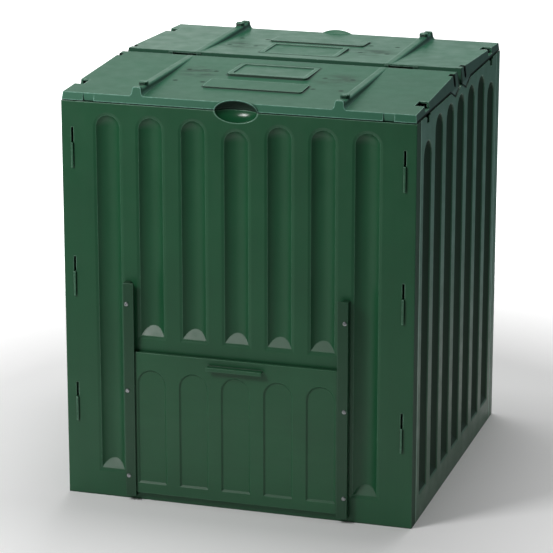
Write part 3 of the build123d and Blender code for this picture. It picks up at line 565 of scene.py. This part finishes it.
# Painted shade: the ridge face, the side skirts, the peg sides, the joint over the side walls and the notches
# are darkened.
painted_shade = 1.0
for mask, tone in ((ridge, RIDGE_SHADE), (flank, SKIRT_SHADE), (peg, PEG_SIDE_SHADE), (joint, JOINT_SHADE),
                   (notch, NOTCH_SHADE)):
    painted_shade = times(lid_tree, painted_shade, toned(lid_tree, mask, tone))

paint = lid_tree.nodes["Principled BSDF"].inputs["Base Color"]
# Painted light: the fascia's colour is lifted for the light its tilted face catches.
fascia_lit = tinted(lid_tree, tinted(lid_tree, paint.links[0].from_socket, marks_and_shade), FASCIA_PAINTED_LIGHT, fascia)
# Painted light: the pockets in the fascia are blended a little lighter.
pocket_lit = blended(lid_tree, times(lid_tree, pocket, POCKET_PAINTED_LIGHT), fascia_lit, LID_SCUFF_HIGHLIGHT)
lid_tree.links.new(tinted(lid_tree, pocket_lit, painted_shade), paint)
sheen = lid_tree.nodes["Principled BSDF"].inputs["Roughness"]
for mask, matt in ((rough_mark, MARK_MATT), (fascia, FASCIA_MATT), (ridge, RIDGE_MATT), (shut, JOINT_MATT)):
    lid_tree.links.new(matted(lid_tree, mask, sheen.links[0].from_socket, matt), sheen)
finish_dish(lid_plastic, HOOD_MATT, 1.0, HOOD_EDGE)
# Painted shade darkens the inside of the hood.
finish_dish(lid_plastic, HOOD_MATT, HOOD_SHADE, DISH_EDGE)
for lid in ("front_lid", "rear_lid"):
    finish_node(lid, lid_plastic)

# Studio: a white floor that melts into a white surround, one large softbox from the front left, a
# ceiling panel behind the bin, and a long lens a little to the right and above the lids. The camera
# sees plain white; only reflections see the drape on the right, the window and the dim front.
FLOOR_SIDES = 96
FLOOR_GONE = 2.4
FLOOR_MELT = (0.9, 2.352)
FLOOR_WHITE = (0.92, 0.92, 0.92, 1.0)
WHITE = (1.0, 1.0, 1.0, 1.0)
SURROUND_FILL = 0.20
SKY_TINT = (0.92, 1.0, 0.955, 1.0)
DRAPE_TINT = (0.197, 0.300, 0.296, 1.0)
DRAPE_FROM = (-0.42, -0.05)
FRONT_FROM = (-0.3, 0.4)
FRONT_DIM = 0.25
FLOOR_FROM = (-0.27, -0.188)
FLOOR_GLOW = 2.0
WINDOW_X = (-0.30, -0.10)
WINDOW_Y = (0.0, 0.5)
WINDOW_GLOW = 1.95
HORIZON_DIM = 0.50
HIGH_FROM = (0.0, 0.10)
HIGH_GLOW = 1.72
TOP_FROM = (0.17, 0.33)
TOP_DIM = 0.12
KEY_AT = (-1.35, -2.05, 2.15)
KEY_WATTS = 41.5
KEY_SIZE = 0.8
PANEL_AT = (0.0, 0.6, 3.3)
PANEL_WATTS = 62.0
PANEL_SIZE = 1.6
LENS_MM = 177.03
FILM_MM = 36.0
LENS_FAR = 50.0
CAMERA_AZIMUTH = 16.98
CAMERA_HEIGHT = 16.42
CAMERA_AWAY = 6.46777
AIM = Vector((-0.02893, -0.00883, 0.4397))
LIT = Vector((0.0, 0.0, 0.8))

floor_shape = bmesh.new()
bmesh.ops.create_circle(floor_shape, cap_ends=True, segments=FLOOR_SIDES, radius=FLOOR_GONE)
floor_mesh = bpy.data.meshes.new("studio_floor")
floor_shape.to_mesh(floor_mesh)
floor_shape.free()
floor = bpy.data.objects.new("studio_floor", floor_mesh)
bpy.context.scene.collection.objects.link(floor)
floor_paint = bpy.data.materials.new("floor_paint")
floor_paint.use_nodes = True
floor_tree = floor_paint.node_tree
floor_tree.nodes.clear()
floor_where = step(floor_tree, "ShaderNodeTexCoord").outputs["Object"]
floor_away = step(floor_tree, "ShaderNodeVectorMath", {0: floor_where}, operation="LENGTH").outputs["Value"]
melt = over(floor_tree, floor_away, FLOOR_MELT)
matt = step(floor_tree, "ShaderNodeBsdfDiffuse", {"Color": FLOOR_WHITE})
clear = step(floor_tree, "ShaderNodeBsdfTransparent")
floor_mix = step(floor_tree, "ShaderNodeMixShader",
                 {0: melt, 1: matt.outputs["BSDF"], 2: clear.outputs["BSDF"]})
step(floor_tree, "ShaderNodeOutputMaterial", {"Surface": floor_mix.outputs["Shader"]})
floor_mesh.materials.append(floor_paint)

world = bpy.data.worlds.new("white_surround")
bpy.context.scene.world = world
world.use_nodes = True
sky = world.node_tree
sky.nodes.clear()
ray = step(sky, "ShaderNodeLightPath").outputs
seen = number(sky, "MAXIMUM", ray["Is Camera Ray"], ray["Is Glossy Ray"])
shown = number(sky, "MAXIMUM", seen, ray["Is Transmission Ray"])
toward = parts(sky, step(sky, "ShaderNodeTexCoord").outputs["Generated"])
aside = number(sky, "SUBTRACT", over(sky, toward["X"], DRAPE_FROM), ray["Is Camera Ray"], clamp=True)
backdrop = blended(sky, aside, blended(sky, ray["Is Camera Ray"], SKY_TINT, WHITE), DRAPE_TINT)
window = times(sky, under(sky, toward["X"], WINDOW_X), over(sky, toward["Y"], WINDOW_Y))
horizon = spread(sky, window, 0.0, 1.0, HORIZON_DIM, WINDOW_GLOW)
above = spread(sky, toward["Z"], *HIGH_FROM, horizon, HIGH_GLOW)
room = times(sky, spread(sky, toward["Y"], *FRONT_FROM, FRONT_DIM, 1.0),
             spread(sky, toward["Z"], *FLOOR_FROM, FLOOR_GLOW, above),
             spread(sky, toward["Z"], *TOP_FROM, 1.0, TOP_DIM))
strength = number(sky, "MAXIMUM", room, ray["Is Camera Ray"])
fill = step(sky, "ShaderNodeBackground", {"Color": WHITE, "Strength": SURROUND_FILL})
white = step(sky, "ShaderNodeBackground", {"Color": backdrop, "Strength": strength})
surround = step(sky, "ShaderNodeMixShader",
                {0: shown, 1: fill.outputs["Background"], 2: white.outputs["Background"]})
step(sky, "ShaderNodeOutputWorld", {"Surface": surround.outputs["Shader"]})

for lamp_name, lamp_at, watts, wide in (
    ("key_softbox", KEY_AT, KEY_WATTS, KEY_SIZE),
    ("ceiling_panel", PANEL_AT, PANEL_WATTS, PANEL_SIZE),
):
    glow = bpy.data.lights.new(lamp_name, "AREA")
    glow.shape = "SQUARE"
    glow.size = wide
    glow.energy = watts
    lamp = bpy.data.objects.new(lamp_name, glow)
    lamp.location = lamp_at
    lamp.rotation_euler = (LIT - Vector(lamp_at)).to_track_quat("-Z", "Y").to_euler()
    bpy.context.scene.collection.objects.link(lamp)

turn_round = math.radians(CAMERA_AZIMUTH)
raise_up = math.radians(CAMERA_HEIGHT)
eye = AIM + CAMERA_AWAY * Vector((math.sin(turn_round) * math.cos(raise_up),
                                  -math.cos(turn_round) * math.cos(raise_up),
                                  math.sin(raise_up)))
lens = bpy.data.cameras.new("long_lens")
lens.lens = LENS_MM
lens.sensor_width = FILM_MM
lens.clip_end = LENS_FAR
camera = bpy.data.objects.new("long_lens", lens)
camera.location = eye
camera.rotation_euler = (AIM - eye).to_track_quat("-Z", "Y").to_euler()
bpy.context.scene.collection.objects.link(camera)
bpy.context.scene.camera = camera
bpy.context.scene.view_settings.view_transform = "Standard"
